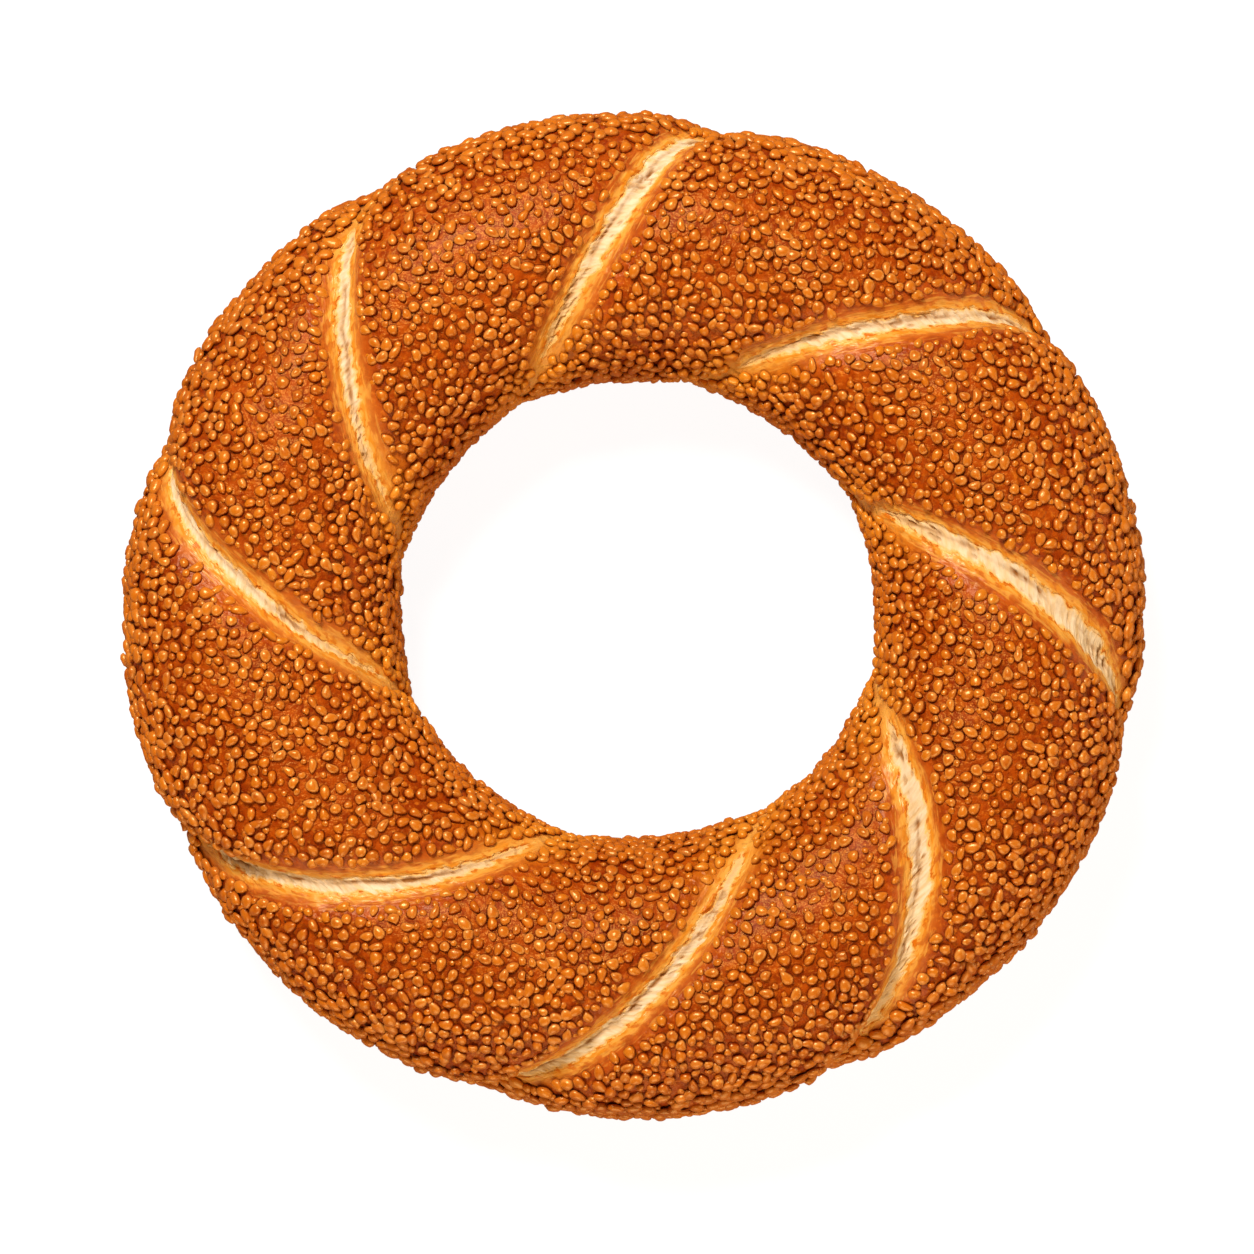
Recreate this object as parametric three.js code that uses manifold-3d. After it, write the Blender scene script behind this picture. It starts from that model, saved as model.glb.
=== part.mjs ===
// A simit: a ring of two dough strands twisted round each other, baked on a flat tray and rolled
// in sesame seeds. The twist shows as eight slanting grooves over the top, which the oven has
// opened. The whole ring is one closed solid, with its largest seeds fused on.
//
// Millimetres, +Z up. The ring lies flat on the XY plane, with the origin at the middle of its
// base. A place on the ring is two angles in degrees: "turn" goes round the ring from +X towards
// +Y, and "roll" goes round the tube, from 0 on the outside over 90 on the crown and 180 on the
// inside to 270 underneath.
import * as THREE from "three";
import { mergeVertices } from "three/addons/utils/BufferGeometryUtils.js";
import Module from "manifold-3d";

// The ring's centre line: a circle that is a little longer along one line. Its middle is set off
// so that the box round the whole uneven ring has its middle at the origin.
const ringRadius = 64.1;
const ringOval = 0.8;
const longestTurn = -5;
const centreX = 0.5;
const centreY = 0.45;

// The tube's section at the middle of a strand: half an ellipse above the widest line, a deeper
// one below it, and the tray's flat cut across the bottom
const tubeHalfWidth = 23;
const tubeThicker = 0.6;
const thickestTurn = 236;
const crownHeight = 20.8;
const bellyDepth = 19.5;
const equatorHeight = 17;

// The strands bulge between the grooves, and the crust falls into each groove in a soft shoulder.
// Round the hole, where the dough is pressed together, both are only a share as deep.
const strandBulge = 1.2;
const closedGrooveDepth = 1.1;
const openGrooveDepth = 3.4;
const grooveHalfWidth = 4.4;
const insideShare = 0.4;

// The eight grooves. "at" is the turn where a groove crosses the crown, "lean" and "bow" bend it
// away from an even twist, and "opens" is the roll where the split begins and ends.
const grooves = [
  { at: 5.3, lean: -1.3, bow: 2.3, opens: [13, 155] },
  { at: 49.6, lean: -0.9, bow: 4.8, opens: [8, 148] },
  { at: 94.9, lean: -1.6, bow: 5.2, opens: [10, 152] },
  { at: 139.6, lean: 0.6, bow: 3.5, opens: [26, 152] },
  { at: 177, lean: -1.1, bow: 1.2, opens: [14, 160] },
  { at: 226.2, lean: 1.9, bow: 1.5, opens: [8, 158] },
  { at: 273.4, lean: 3.2, bow: 3.9, opens: [20, 146] },
  { at: 318.5, lean: 4.5, bow: -0.3, opens: [20, 146] },
];
const underRoll = 270;        // the roll of the tube's underside, where a strand's sheet is joined
const sheetsPerTurn = 2;      // a groove that dives under comes up as the one after the next

// The mesh: columns stand at these distances on both sides of a groove, and at these shares of
// the way across a strand
const columnsBesideGroove = [0, 1.8, 3.9, 7.4];
const columnsAcross = [0.3, 0.5, 0.7];
const rollSteps = 28;

// Sesame seeds: flat drops that narrow to one end, half sunk in the crust
const seedCount = 190;
const seedLength = 2.9;
const seedWidth = 2.1;
const seedHeight = 1.5;
const seedTaper = 0.3;
const seedSink = 0.25;
const seedSizeSpread = 0.12;
const seedGrooveGap = 7;
const seedBaseGap = 3.5;
const seedDraw = 7;           // the random numbers' first value

const toRadians = THREE.MathUtils.degToRad;
const cosine = (degrees) => Math.cos(toRadians(degrees));
const sine = (degrees) => Math.sin(toRadians(degrees));

// Groove number "index", counted on past the eighth into the next turn of the ring
function grooveAt(index) {
  const count = grooves.length;
  const lap = Math.floor(index / count);
  const groove = grooves[index - lap * count];
  return { ...groove, at: groove.at + 360 * lap };
}

// The turn at which a groove's bottom line stands at a given roll, from -90 to 270
function grooveTurn(index, roll) {
  const { at, lean, bow } = grooveAt(index);
  const fromCrown = roll - 90;
  const side = fromCrown < 0 ? -sheetsPerTurn : sheetsPerTurn;
  const evenTwist = (grooveAt(index + side).at - at) / 2 * Math.abs(fromCrown) / 180;
  return at + evenTwist + lean * sine(fromCrown) + bow * sine(fromCrown) ** 2;
}

// How far a groove has opened at a roll, from 0 where it is shut to 1
function grooveOpening(index, roll) {
  const [from, to] = grooveAt(index).opens;
  const along = THREE.MathUtils.clamp((roll - from) / (to - from), 0, 1);
  return Math.sin(Math.PI * along) ** 0.7;
}

function ringMiddle(turn) {
  return ringRadius + ringOval * cosine(2 * (turn - longestTurn));
}

function halfWidthAt(turn) {
  return tubeHalfWidth + tubeThicker * cosine(turn - thickestTurn);
}

// The distance across a strand from groove "index" to the next, at right angles to them
function strandWidth(index, roll) {
  const step = 1;
  const turn = (grooveTurn(index, roll) + grooveTurn(index + 1, roll)) / 2;
  const radius = ringMiddle(turn) + tubeHalfWidth * cosine(roll);
  const alongRing = toRadians(grooveTurn(index + 1, roll) - grooveTurn(index, roll)) * radius;
  const advance = grooveTurn(index, roll + step) - grooveTurn(index, roll - step);
  const slant = Math.atan2(tubeHalfWidth * 2 * step, radius * advance);
  return alongRing * Math.sin(slant);
}

// How far the crust lies inside the smooth tube, at a distance from groove "index"
function crustDrop(index, roll, distance, width) {
  const shutDepth = closedGrooveDepth;
  const extraDepth = openGrooveDepth - closedGrooveDepth;
  const depth = (number) => shutDepth + extraDepth * grooveOpening(number, roll);
  const dip = (gap) => Math.exp(-((gap / grooveHalfWidth) ** 2));
  const fromMiddle = Math.abs(2 * distance / width - 1);
  const bulge = strandBulge * fromMiddle ** 3;
  const inward = Math.max(-cosine(roll), 0);
  const calm = 1 - (1 - insideShare) * inward ** 1.5;
  return calm * (bulge + depth(index) * dip(distance) + depth(index + 1) * dip(width - distance));
}

// A point of the crust, at a share of the way from groove "index" to the next
function crustPoint(index, share, roll) {
  const turnHere = grooveTurn(index, roll);
  const turn = turnHere + share * (grooveTurn(index + 1, roll) - turnHere);
  const width = strandWidth(index, roll);
  const halfWidth = halfWidthAt(turn);
  const swell = 1 - crustDrop(index, roll, share * width, width) / halfWidth;
  const fromAxis = ringMiddle(turn) + halfWidth * swell * cosine(roll);
  const depth = sine(roll) > 0 ? crownHeight : bellyDepth;
  const height = equatorHeight + depth * swell * sine(roll);
  return new THREE.Vector3(
    centreX + fromAxis * cosine(turn),
    centreY + fromAxis * sine(turn),
    Math.max(height, 0),
  );
}

// The shares of a strand's width where its columns stand, dense beside the grooves
function columnShares(width) {
  const near = columnsBesideGroove.map((gap) => gap / width);
  const far = near.slice(1).reverse().map((share) => 1 - share);
  return [...near, ...columnsAcross, ...far];
}

// The crust as one closed skin. Each strand is a sheet of columns from groove to groove, which
// goes once round the tube and joins the sheet two strands further on underneath.
function buildCrust() {
  const columns = 2 * columnsBesideGroove.length - 1 + columnsAcross.length;
  const sheetSize = columns * rollSteps;
  const positions = [];
  for (let strand = 0; strand < grooves.length; strand += 1) {
    for (let row = 0; row < rollSteps; row += 1) {
      const roll = underRoll - 360 + 360 * row / rollSteps;
      for (const share of columnShares(strandWidth(strand, roll))) {
        positions.push(...crustPoint(strand, share, roll).toArray());
      }
    }
  }
  const vertexAt = (strand, row, column) => {
    const nextStrand = column === columns ? 1 : 0;
    const wrapped = row === rollSteps ? sheetsPerTurn : 0;
    const sheet = (strand + nextStrand + wrapped) % grooves.length;
    return sheet * sheetSize + (row % rollSteps) * columns + (column % columns);
  };
  const triangles = [];
  for (let strand = 0; strand < grooves.length; strand += 1) {
    for (let row = 0; row < rollSteps; row += 1) {
      for (let column = 0; column < columns; column += 1) {
        const near = vertexAt(strand, row, column);
        const nearAbove = vertexAt(strand, row + 1, column);
        const far = vertexAt(strand, row, column + 1);
        const farAbove = vertexAt(strand, row + 1, column + 1);
        triangles.push(near, far, nearAbove, far, farAbove, nearAbove);
      }
    }
  }
  const geometry = new THREE.BufferGeometry();
  geometry.setAttribute("position", new THREE.Float32BufferAttribute(positions, 3));
  geometry.setIndex(triangles);
  return geometry;
}

// One seed about its own middle: length along X, height along Z, narrowing towards +X
function buildSeed() {
  const geometry = new THREE.IcosahedronGeometry(1, 0);
  const corners = geometry.getAttribute("position");
  for (let corner = 0; corner < corners.count; corner += 1) {
    const narrowing = 1 - seedTaper * corners.getX(corner);
    corners.setY(corner, corners.getY(corner) * narrowing);
  }
  geometry.scale(seedLength / 2, seedWidth / 2, seedHeight / 2);
  geometry.deleteAttribute("normal");
  geometry.deleteAttribute("uv");
  return mergeVertices(geometry);
}

// The same even random numbers on every run (mulberry32)
function makeDraw(first) {
  let state = first;
  return () => {
    state = (state + 0x6d2b79f5) | 0;
    let mixed = Math.imul(state ^ (state >>> 15), 1 | state);
    mixed = (mixed + Math.imul(mixed ^ (mixed >>> 7), 61 | mixed)) ^ mixed;
    return ((mixed ^ (mixed >>> 14)) >>> 0) / 2 ** 32;
  };
}

// The roll below which a given share of the tube's skin lies. A ring's skin is wider outside
// than inside, so equal steps of roll wouldn't spread the seeds evenly.
function rollForShare(share) {
  const pinch = tubeHalfWidth / ringRadius;
  let roll = 360 * share;
  for (let pass = 0; pass < 8; pass += 1) {
    roll = 360 * share - pinch * sine(roll) * 180 / Math.PI;
  }
  return roll < underRoll ? roll : roll - 360;
}

// Where a seed stands: on the crust, clear of the grooves and of the flat base
function seedPlaces() {
  const places = [];
  const spreadStep = 1.32471795724;    // steps by its powers fill a square evenly, in any number
  for (let number = 1; places.length < seedCount; number += 1) {
    const turn = 360 * ((number / spreadStep) % 1);
    const roll = rollForShare((number / spreadStep ** 2) % 1);
    let strand = -grooves.length;
    while (grooveTurn(strand + 1, roll) <= turn) {
      strand += 1;
    }
    const start = grooveTurn(strand, roll);
    const share = (turn - start) / (grooveTurn(strand + 1, roll) - start);
    const width = strandWidth(strand, roll);
    const gap = Math.min(share, 1 - share) * width;
    const height = crustPoint(strand, share, roll).z;
    if (gap > seedGrooveGap && height > seedBaseGap) {
      places.push({ strand, share, roll });
    }
  }
  return places;
}

// A seed turned to lie flat on the crust at its place, pointing any way
function placeSeed(seed, { strand, share, roll }, draw) {
  const shareStep = 0.01;
  const rollStep = 1;
  const middle = crustPoint(strand, share, roll);
  const along = crustPoint(strand, share + shareStep, roll).sub(middle).normalize();
  const around = crustPoint(strand, share, roll + rollStep).sub(middle);
  const outward = new THREE.Vector3().crossVectors(along, around).normalize();
  const across = new THREE.Vector3().crossVectors(outward, along);
  const facing = new THREE.Matrix4().makeBasis(along, across, outward);
  const spin = new THREE.Matrix4().makeRotationZ(2 * Math.PI * draw());
  const size = 1 + seedSizeSpread * (2 * draw() - 1);
  const placed = seed.clone();
  placed.scale(size, size, size);
  placed.applyMatrix4(spin);
  placed.applyMatrix4(facing);
  const centre = middle.addScaledVector(outward, -seedSink);
  placed.translate(centre.x, centre.y, centre.z);
  return placed;
}

const wasm = await Module();
wasm.setup();

function toSolid(geometry) {
  const vertProperties = new Float32Array(geometry.getAttribute("position").array);
  const triVerts = new Uint32Array(geometry.getIndex().array);
  return new wasm.Manifold(new wasm.Mesh({ numProp: 3, vertProperties, triVerts }));
}

function toGeometry(solid) {
  const { vertProperties, triVerts } = solid.getMesh();
  const geometry = new THREE.BufferGeometry();
  geometry.setAttribute("position", new THREE.BufferAttribute(vertProperties, 3));
  geometry.setIndex(new THREE.BufferAttribute(triVerts, 1));
  return geometry;
}

function buildSimit() {
  const draw = makeDraw(seedDraw);
  const seed = buildSeed();
  let solid = toSolid(buildCrust());
  for (const place of seedPlaces()) {
    solid = solid.add(toSolid(placeSeed(seed, place, draw)));
  }
  const crust = new THREE.MeshStandardMaterial({
    color: new THREE.Color().setRGB(0.74, 0.38, 0.13, THREE.SRGBColorSpace),
    roughness: 0.45,
    metalness: 0,
  });
  const mesh = new THREE.Mesh(toGeometry(solid), crust);
  mesh.name = "simit";
  return mesh;
}

const part = new THREE.Group();
part.add(buildSimit());

export default part;
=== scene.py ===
import math

import bpy
import numpy as np
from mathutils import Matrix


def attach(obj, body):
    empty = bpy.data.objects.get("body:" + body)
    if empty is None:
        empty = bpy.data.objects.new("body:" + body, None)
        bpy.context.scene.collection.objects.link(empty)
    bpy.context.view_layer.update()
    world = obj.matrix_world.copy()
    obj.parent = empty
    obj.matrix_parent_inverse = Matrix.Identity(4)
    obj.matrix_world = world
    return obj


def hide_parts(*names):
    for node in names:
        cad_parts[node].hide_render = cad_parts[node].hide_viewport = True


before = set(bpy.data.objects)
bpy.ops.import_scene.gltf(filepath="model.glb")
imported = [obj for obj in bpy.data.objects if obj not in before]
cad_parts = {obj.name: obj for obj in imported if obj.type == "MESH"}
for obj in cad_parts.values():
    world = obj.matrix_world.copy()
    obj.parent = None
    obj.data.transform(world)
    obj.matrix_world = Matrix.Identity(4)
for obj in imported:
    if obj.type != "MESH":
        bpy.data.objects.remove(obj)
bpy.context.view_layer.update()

# Shapes are worked out in millimetres and turned into metres when a mesh is made. "turn" goes
# round the ring from +X towards +Y, and "roll" goes round the tube: 0 outside, 90 crown,
# 180 inside, 270 underneath. Both are in degrees.
mm = 0.001

ring = {
    "radius": 64.1,            # middle of the ring to middle of the tube
    "oval": 0.8,               # a little longer along one line
    "longestTurn": -5,
    "centre": (0.5, 0.45),
    "halfWidth": 22.7,         # tube, at the middle of a strand
    "thicker": 0.6,            # more than that on one side
    "thickestTurn": 236,
    "crown": 20.5,             # widest line up to the crown
    "belly": 19.5,             # widest line down, before the tray cuts it flat
    "equator": 17.0,           # height of the widest line
    "baseLift": 0.25,          # crust stands on its pressed seeds
    "baseRound": 0.9,
    "bulge": 1.2,              # strands bulge between the grooves
    "shutDepth": 1.1,
    "openDepth": 3.4,
    "grooveWidth": 4.4,
    "insideShare": 0.4,        # grooves are shallower round the hole
}

# at: turn at the crown; lean, bow: bend away from an even twist; opens: roll from and to;
# gape: half the widest crumb in mm; widest: where that is, as a share of the way in;
# crease: how far the crumb's own crease lies from its middle, as a share of the gape
grooves = [
    {"at": 5.3, "crease": 0.15, "lean": -1.3, "bow": 2.3, "opens": (13, 161), "gape": 2.1, "widest": 0.4},
    {"at": 49.6, "crease": 0.35, "lean": -0.9, "bow": 4.8, "opens": (8, 153), "gape": 1.5, "widest": 0.45},
    {"at": 94.9, "crease": 0.2, "lean": -1.6, "bow": 5.2, "opens": (10, 152), "gape": 1.85, "widest": 0.3},
    {"at": 139.6, "crease": 0.1, "lean": 0.6, "bow": 3.5, "opens": (26, 152), "gape": 1.3, "widest": 0.35},
    {"at": 177, "crease": -0.3, "lean": -1.1, "bow": 1.2, "opens": (14, 160), "gape": 1.3, "widest": 0.3},
    {"at": 226.2, "crease": -0.25, "lean": 1.9, "bow": 1.5, "opens": (8, 158), "gape": 1.6, "widest": 0.38},
    {"at": 273.4, "crease": -0.3, "lean": 3.2, "bow": 3.9, "opens": (20, 154), "gape": 1.6, "widest": 0.4},
    {"at": 318.5, "crease": -0.15, "lean": 4.5, "bow": -0.3, "opens": (20, 152), "gape": 1.9, "widest": 0.55},
]
grooveCount = len(grooves)
underRoll = 270                # where a strand's sheet is joined to the next but one
sheetsPerTurn = 2

# the grooves counted on for two more laps both ways, so that plain index sums work
lapSpan = 2 * grooveCount
countedOn = np.arange(-lapSpan, lapSpan + grooveCount)


def countOn(key):
    return np.array([grooves[n % grooveCount][key] for n in countedOn], float)


atTurns = countOn("at") + 360.0 * (countedOn // grooveCount)
leans, bows, gapes, widests = (countOn(key) for key in ("lean", "bow", "gape", "widest"))
opensFrom, opensTo = countOn("opens").T


def cosine(degrees):
    return np.cos(np.radians(degrees))


def sine(degrees):
    return np.sin(np.radians(degrees))


def smooth(low, high, value):
    along = np.clip((value - low) / (high - low), 0, 1)
    return along * along * (3 - 2 * along)


def grooveTurn(index, roll):
    # turn of a groove's bottom line at a roll from -90 to 270
    n = np.asarray(index) + lapSpan
    fromCrown = roll - 90
    side = np.where(fromCrown < 0, -sheetsPerTurn, sheetsPerTurn)
    evenTwist = (atTurns[n + side] - atTurns[n]) / 2 * np.abs(fromCrown) / 180
    return atTurns[n] + evenTwist + leans[n] * sine(fromCrown) + bows[n] * sine(fromCrown) ** 2


def grooveOpening(index, roll):
    n = np.asarray(index) + lapSpan
    along = np.clip((roll - opensFrom[n]) / (opensTo[n] - opensFrom[n]), 0, 1)
    return np.sin(np.pi * along) ** 0.7


def crumbGape(index, roll):
    # half the width of bare crumb: blunt towards the outside, a long point towards the hole
    n = np.asarray(index) + lapSpan
    start, end = opensFrom[n] + splitForm["crumbEnds"][0], opensTo[n] - splitForm["crumbEnds"][1]
    way = np.clip((roll - start) / (end - start), 0, 1)
    widest = widests[n]
    taper = way ** widest * (1 - way) ** (1 - widest)
    return gapes[n] * (taper / (widest ** widest * (1 - widest) ** (1 - widest))) ** 0.85


def ringMiddle(turn):
    return ring["radius"] + ring["oval"] * cosine(2 * (turn - ring["longestTurn"]))


def halfWidthAt(turn):
    return ring["halfWidth"] + ring["thicker"] * cosine(turn - ring["thickestTurn"])


def strandWidth(index, roll):
    # across a strand at right angles to its grooves
    first, second = grooveTurn(index, roll), grooveTurn(index + 1, roll)
    radius = ringMiddle((first + second) / 2) + ring["halfWidth"] * cosine(roll)
    advance = grooveTurn(index, roll + 1) - grooveTurn(index, roll - 1)
    slant = np.arctan2(ring["halfWidth"] * 2, radius * advance)
    return np.radians(second - first) * radius * np.sin(slant)


def crustDrop(index, roll, distance, width):
    extra = ring["openDepth"] - ring["shutDepth"]
    here = ring["shutDepth"] + extra * grooveOpening(index, roll)
    there = ring["shutDepth"] + extra * grooveOpening(index + 1, roll)
    dips = here * np.exp(-(distance / ring["grooveWidth"]) ** 2)
    dips = dips + there * np.exp(-((width - distance) / ring["grooveWidth"]) ** 2)
    bulge = ring["bulge"] * np.abs(2 * distance / width - 1) ** 3
    inward = np.maximum(-cosine(roll), 0)
    return (1 - (1 - ring["insideShare"]) * inward ** 1.5) * (bulge + dips)


def crustPoint(index, share, roll, lift=0.0):
    # a point of the crust, at a share of the way from groove "index" to the next
    first = grooveTurn(index, roll)
    turn = first + share * (grooveTurn(index + 1, roll) - first)
    width = strandWidth(index, roll)
    halfWidth = halfWidthAt(turn)
    swell = 1 + (lift - crustDrop(index, roll, share * width, width)) / halfWidth
    fromAxis = ringMiddle(turn) + halfWidth * swell * cosine(roll)
    depth = np.where(sine(roll) > 0, ring["crown"], ring["belly"])
    height = ring["equator"] + depth * swell * sine(roll)
    above = height - ring["baseLift"]
    height = ring["baseLift"] + (above + np.sqrt(above ** 2 + ring["baseRound"] ** 2)) / 2
    x = ring["centre"][0] + fromAxis * cosine(turn)
    y = ring["centre"][1] + fromAxis * sine(turn)
    return np.stack(np.broadcast_arrays(x, y, height), axis=-1)


def unit(vectors):
    return vectors / np.linalg.norm(vectors, axis=-1, keepdims=True)


def crustFrame(index, share, roll):
    # point, direction along the ring and outward direction
    shareStep, rollStep = 0.004, 0.3
    middle = crustPoint(index, share, roll)
    along = crustPoint(index, share + shareStep, roll) - crustPoint(index, share - shareStep, roll)
    around = crustPoint(index, share, roll + rollStep) - crustPoint(index, share, roll - rollStep)
    along = unit(along)
    return middle, along, unit(np.cross(along, around))


class SoftNoise:
    # smooth random heights from -1 to 1 over space, the same for the same seed
    def __init__(self, seed, cells=32):
        self.cells = cells
        self.values = np.random.default_rng(seed).uniform(-1, 1, (cells, cells, cells))

    def __call__(self, points, size=1.0):
        place = np.asarray(points) / size
        low = np.floor(place).astype(int)
        part = place - low
        part = part * part * (3 - 2 * part)
        total = 0.0
        for corner in range(8):
            step = np.array([corner & 1, corner >> 1 & 1, corner >> 2 & 1])
            weight = np.prod(np.where(step == 1, part, 1 - part), axis=-1)
            at = (low + step) % self.cells
            total = total + weight * self.values[at[..., 0], at[..., 1], at[..., 2]]
        return total


# uneven dough: how wide and how high each kind of unevenness is, in mm
crustRelief = {
    "draw": 11,
    "swellSize": 17.0,
    "swell": 0.45,
    "lumpSize": 5.5,
    "lump": 0.22,
    "grainSize": 1.9,
    "grain": 0.2,
}
reliefNoise = SoftNoise(crustRelief["draw"])


def crustLumps(points):
    lumps = crustRelief["swell"] * reliefNoise(points, crustRelief["swellSize"])
    lumps = lumps + crustRelief["lump"] * reliefNoise(points + 40.3, crustRelief["lumpSize"])
    return lumps + crustRelief["grain"] * reliefNoise(points + 91.7, crustRelief["grainSize"])


def vertexNormals(points, faces):
    # for faces of four corners
    corners = points[faces]
    across = np.cross(corners[:, 2] - corners[:, 0], corners[:, 3] - corners[:, 1])
    normals = np.zeros_like(points)
    for corner in range(faces.shape[1]):
        for axis in range(3):
            normals[:, axis] += np.bincount(faces[:, corner], across[:, axis], len(points))
    return unit(normals)


def makeMesh(name, points, faces, material, values, shape=None):
    # points in mm; faces all with the same number of corners; values: a number for each point;
    # shape: points whose normals are taken where the mesh itself dips out of sight
    mesh = bpy.data.meshes.new(name)
    points = np.asarray(points, float).reshape(-1, 3)
    faces = np.asarray(faces, np.int32)
    corners = faces.shape[1]
    mesh.vertices.add(len(points))
    mesh.vertices.foreach_set("co", (points * mm).ravel().astype(np.float32))
    mesh.loops.add(faces.size)
    mesh.loops.foreach_set("vertex_index", faces.ravel())
    mesh.polygons.add(len(faces))
    mesh.polygons.foreach_set("loop_start", np.arange(0, faces.size, corners, dtype=np.int32))
    mesh.polygons.foreach_set("use_smooth", np.ones(len(faces), bool))
    for title, numbers in values.items():
        attribute = mesh.attributes.new(title, "FLOAT", "POINT")
        attribute.data.foreach_set("value", np.asarray(numbers, np.float32).ravel())
    mesh.update(calc_edges=True)
    mesh.validate()
    if shape is not None:
        normals = vertexNormals(np.asarray(shape, float).reshape(-1, 3), faces)
        mesh.normals_split_custom_set_from_vertices(normals.tolist())
    mesh.materials.append(material)
    piece = bpy.data.objects.new(name, mesh)
    bpy.context.scene.collection.objects.link(piece)
    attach(piece, "root")
    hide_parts("simit")
    print("made", name, "with", len(faces), "faces")


def newMaterial(name):
    material = bpy.data.materials.new(name)
    material.use_nodes = True
    tree = material.node_tree
    return material, tree, tree.nodes["Principled BSDF"]


def feed(tree, socket, value):
    if isinstance(value, bpy.types.NodeSocket):
        tree.links.new(value, socket)
    elif isinstance(value, tuple) and len(value) == 3 and socket.type == "RGBA":
        socket.default_value = (*value, 1)
    else:
        socket.default_value = value


def node(tree, kind, inputs=None, **settings):
    made = tree.nodes.new(kind)
    for key, value in settings.items():
        setattr(made, key, value)
    for key, value in (inputs or {}).items():
        feed(tree, made.inputs[key], value)
    return made


def noiseAt(tree, where, size, detail=3.0, rough=0.55):
    # size: its largest features, in the unit of "where"
    inputs = {"Vector": where, "Scale": 1 / size, "Detail": detail, "Roughness": rough}
    return node(tree, "ShaderNodeTexNoise", inputs).outputs["Fac"]


def attributeOf(tree, title):
    return node(tree, "ShaderNodeAttribute", attribute_name=title).outputs["Fac"]


def ranged(tree, value, low, high, toLow=0.0, toHigh=1.0):
    inputs = {"Value": value, "From Min": low, "From Max": high, "To Min": toLow, "To Max": toHigh}
    return node(tree, "ShaderNodeMapRange", inputs, interpolation_type="SMOOTHSTEP").outputs["Result"]


def calc(tree, operation, first, second=0.0, third=0.0):
    inputs = {0: first, 1: second, 2: third}
    return node(tree, "ShaderNodeMath", inputs, operation=operation).outputs[0]


def mixed(tree, share, first, second, kind="RGBA"):
    made = node(tree, "ShaderNodeMix", data_type=kind)
    sockets = [s for s in made.inputs if s.enabled]
    for socket, value in zip(sockets, (share, first, second)):
        feed(tree, socket, value)
    return next(s for s in made.outputs if s.enabled)


def bumped(tree, shader, height, strength, distance):
    inputs = {"Height": height, "Strength": strength, "Distance": distance * mm}
    tree.links.new(node(tree, "ShaderNodeBump", inputs).outputs["Normal"], shader.inputs["Normal"])


def shade(red, green, blue):
    # colours are written as on a screen, 0 to 255
    def straighten(level):
        level = level / 255
        return level / 12.92 if level <= 0.04045 else ((level + 0.055) / 1.055) ** 2.4
    return tuple(straighten(level) for level in (red, green, blue))


def setGloss(shader, look):
    shader.inputs["Specular IOR Level"].default_value = look["gloss"]
    shader.inputs["Specular Tint"].default_value = (*look["glossTint"], 1)
    shader.inputs["Coat Weight"].default_value = look["coat"]
    shader.inputs["Coat Roughness"].default_value = look["coatRough"]


# the baked and glazed crust
crustLook = {
    "deep": shade(142, 42, 0),
    "brown": shade(178, 70, 3),
    "light": shade(206, 106, 22),
    "bumps": shade(206, 104, 16),
    "bumpSize": 1.5,           # mm, as the next three
    "patchSize": 14,
    "mottleSize": 2.6,
    "speckSize": 0.9,
    "shoulder": shade(200, 102, 30),
    "golden": shade(216, 124, 14),
    "seam": shade(238, 168, 70),
    # painted shade: the crust goes dark where seeds hem it in
    "creviceShade": shade(82, 12, 0),
    "creviceShadeReach": 1.6,       # mm
    "rough": 0.4,
    "gloss": 0.55,
    "glossTint": (1.0, 0.54, 0.1),
    "coat": 0.06,
    "coatRough": 0.38,
    "bump": 0.85,
}


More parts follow.
